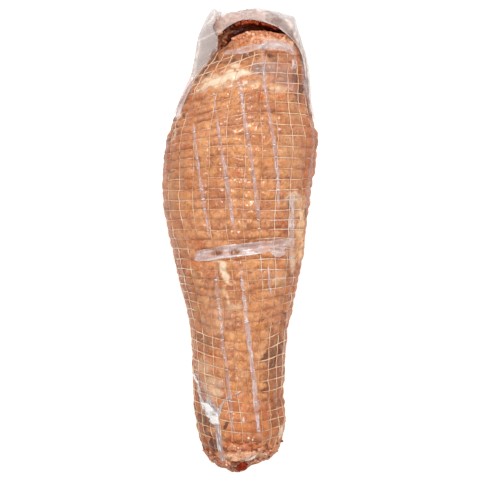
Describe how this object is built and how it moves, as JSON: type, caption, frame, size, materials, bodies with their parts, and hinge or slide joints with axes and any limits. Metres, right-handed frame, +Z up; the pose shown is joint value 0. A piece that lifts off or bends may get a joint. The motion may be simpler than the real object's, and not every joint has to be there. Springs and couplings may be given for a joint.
{
  "type": "pork loin roast",
  "caption": "Long tapered boneless pork loin roast, smoked, in elastic netting and clear film, lying down, with the film's loose end as a hood.",
  "frame": {"origin": "middle of the bounding box, on the surface that the roast lies on", "axes": "+Y along the roast, from its narrow end to its thick hooded end; +Z up"},
  "size_m": [0.1558, 0.4641, 0.1058],
  "materials": {
    "netted_meat": "smoked pork surface, orange tan, moist under its film",
    "clear_film": "clear clinging film, lilac white where it stands off the meat",
    "net_thread": "cream elastic cotton thread, stained by the meat"
  },
  "bodies": {
    "root": {"netted_roast": "netted_meat", "film_hood": "clear_film"}
  },
  "joints": []
}
